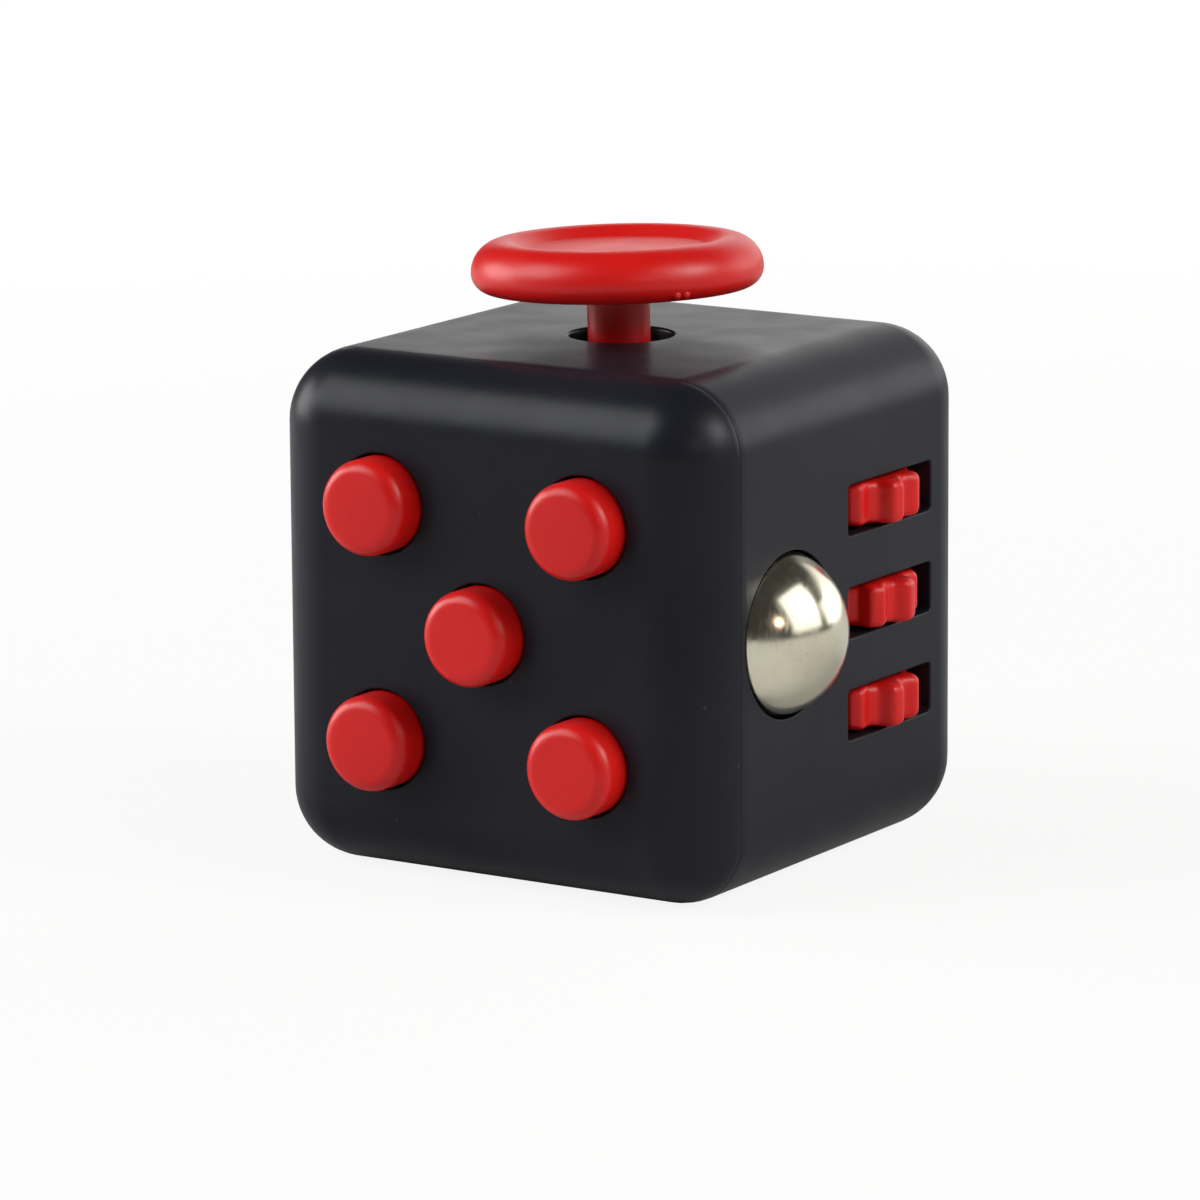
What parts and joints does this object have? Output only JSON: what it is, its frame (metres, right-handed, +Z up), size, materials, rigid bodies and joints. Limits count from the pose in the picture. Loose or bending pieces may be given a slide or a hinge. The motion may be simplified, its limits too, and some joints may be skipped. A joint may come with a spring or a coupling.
{
  "type": "fidget cube",
  "caption": "Rounded desk cube with push buttons, a joystick, a clicking steel ball, thumb wheels, a spinning dial, a rocker and a thumb dish on its faces.",
  "frame": {"origin": "centre of the cube's footprint, at the level of the flat rim of its bottom face", "axes": "+Z up through the joystick face, -Y out of the button face, +X out of the ball and wheel face"},
  "size_m": [0.0386, 0.0374, 0.04],
  "materials": {
    "case_black": "semi-matte moulded",
    "red_plastic": "satin moulded",
    "inner_plastic": "matte moulded",
    "ball_steel": "polished",
    "screw_steel": "plain",
    "spring_steel": "plain",
    "silicone": "matte"
  },
  "bodies": {
    "case": {"main_shell": "case_black", "front_cover": "case_black", "dome_upper_left": "spring_steel", "dome_upper_right": "spring_steel", "dome_centre": "spring_steel", "pad_lower_left": "silicone", "pad_lower_right": "silicone", "button_plate": "inner_plastic", "button_screws": "screw_steel", "gimbal_pins": "screw_steel", "joystick_frame": "inner_plastic", "joystick_spring": "spring_steel", "joystick_screws": "screw_steel", "ball_dome": "spring_steel", "ball_bracket": "inner_plastic", "ball_screws": "screw_steel", "wheel_axle": "screw_steel", "wheel_bracket": "inner_plastic", "wheel_screws": "screw_steel", "dial_washer": "spring_steel", "rocker_pin": "screw_steel", "rocker_bracket": "inner_plastic", "rocker_leaf": "spring_steel", "rocker_screws": "screw_steel"},
    "gimbal": {"gimbal_ring": "inner_plastic"},
    "stick": {"joystick_cap": "red_plastic", "joystick_stem": "red_plastic", "joystick_pin": "screw_steel"},
    "ball_seat": {"ball_cup": "inner_plastic"},
    "ball": {"ball": "ball_steel"},
    "wheel_upper": {"wheel_upper": "red_plastic"},
    "wheel_middle": {"wheel_middle": "red_plastic"},
    "wheel_lower": {"wheel_lower": "red_plastic"},
    "dial": {"dial": "red_plastic", "dial_clip": "spring_steel"},
    "rocker": {"rocker": "red_plastic"},
    "button_upper_left": {"button_upper_left": "red_plastic"},
    "button_upper_right": {"button_upper_right": "red_plastic"},
    "button_centre": {"button_centre": "red_plastic"},
    "button_lower_left": {"button_lower_left": "red_plastic"},
    "button_lower_right": {"button_lower_right": "red_plastic"}
  },
  "joints": [
    {"name": "press_upper_left", "type": "slide", "parent": "case", "child": "button_upper_left", "axis": [0, 1, 0], "range_m": [0, 0.0007], "stiffness_N_per_m": 1500, "deforming": ["dome_upper_left"]},
    {"name": "press_upper_right", "type": "slide", "parent": "case", "child": "button_upper_right", "axis": [0, 1, 0], "range_m": [0, 0.0007], "stiffness_N_per_m": 1500, "deforming": ["dome_upper_right"]},
    {"name": "press_centre", "type": "slide", "parent": "case", "child": "button_centre", "axis": [0, 1, 0], "range_m": [0, 0.0007], "stiffness_N_per_m": 1500, "deforming": ["dome_centre"]},
    {"name": "press_lower_left", "type": "slide", "parent": "case", "child": "button_lower_left", "axis": [0, 1, 0], "range_m": [0, 0.0007], "stiffness_N_per_m": 600, "deforming": ["pad_lower_left"]},
    {"name": "press_lower_right", "type": "slide", "parent": "case", "child": "button_lower_right", "axis": [0, 1, 0], "range_m": [0, 0.0007], "stiffness_N_per_m": 600, "deforming": ["pad_lower_right"]},
    {"name": "stick_front_back", "type": "hinge", "parent": "case", "child": "gimbal", "pos_m": [0, 0, 0.027], "axis": [1, 0, 0], "range_deg": [-7.06, 8.94], "stiffness_Nm_per_rad": 0.03, "deforming": ["joystick_spring"]},
    {"name": "stick_side_side", "type": "hinge", "parent": "gimbal", "child": "stick", "pos_m": [0, 0, 0.027], "axis": [0, 0.9999, -0.0164], "range_deg": [-5.94, 10.06], "stiffness_Nm_per_rad": 0.03, "deforming": ["joystick_spring"]},
    {"name": "ball_press", "type": "slide", "parent": "case", "child": "ball_seat", "axis": [-1, 0, 0], "range_m": [0, 0.0008], "stiffness_N_per_m": 1500, "deforming": ["ball_dome"]},
    {"name": "ball_roll", "type": "hinge", "parent": "ball_seat", "child": "ball", "pos_m": [0.0147, -0.00678, 0.01675], "axis": [0, 0, 1], "continuous": true},
    {"name": "wheel_upper_spin", "type": "hinge", "parent": "case", "child": "wheel_upper", "pos_m": [0.01335, 0.0059, 0.02343], "axis": [0, 0, 1], "continuous": true},
    {"name": "wheel_middle_spin", "type": "hinge", "parent": "case", "child": "wheel_middle", "pos_m": [0.01335, 0.0059, 0.01675], "axis": [0, 0, 1], "continuous": true},
    {"name": "wheel_lower_spin", "type": "hinge", "parent": "case", "child": "wheel_lower", "pos_m": [0.01335, 0.0059, 0.01007], "axis": [0, 0, 1], "continuous": true},
    {"name": "dial_spin", "type": "hinge", "parent": "case", "child": "dial", "pos_m": [0, 0.01675, 0.01675], "axis": [0, 1, 0], "continuous": true},
    {"name": "rocker_flip", "type": "hinge", "parent": "case", "child": "rocker", "pos_m": [-0.01335, 0, 0.01675], "axis": [0, -1, 0], "range_deg": [0, 20], "deforming": ["rocker_leaf"]}
  ]
}
